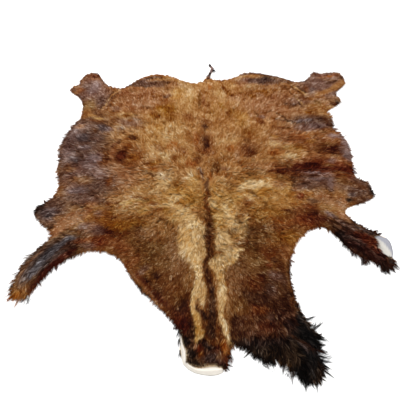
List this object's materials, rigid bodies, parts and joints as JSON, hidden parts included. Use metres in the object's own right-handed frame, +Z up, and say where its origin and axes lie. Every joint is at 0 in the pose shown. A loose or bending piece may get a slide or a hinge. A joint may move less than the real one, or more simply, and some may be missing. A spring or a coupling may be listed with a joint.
{
  "type": "bison hide",
  "caption": "Whole tanned bison hide lying flat with the wool on: legs spread, pale woolly hump, dark spine stripe, shaggy black throat and thin tail.",
  "frame": {"origin": "on the floor under the middle of the whole box, locks and tail included", "axes": "+Y from the neck to the tail, +X to the right with the neck nearest and the hair side up, +Z up from the floor"},
  "size_m": [1.9952, 2.2843, 0.0451],
  "materials": {
    "brown_wool": "deep matt wool, from cream on the hump to black at the throat"
  },
  "bodies": {
    "root": {"hide": "brown_wool"}
  },
  "joints": []
}
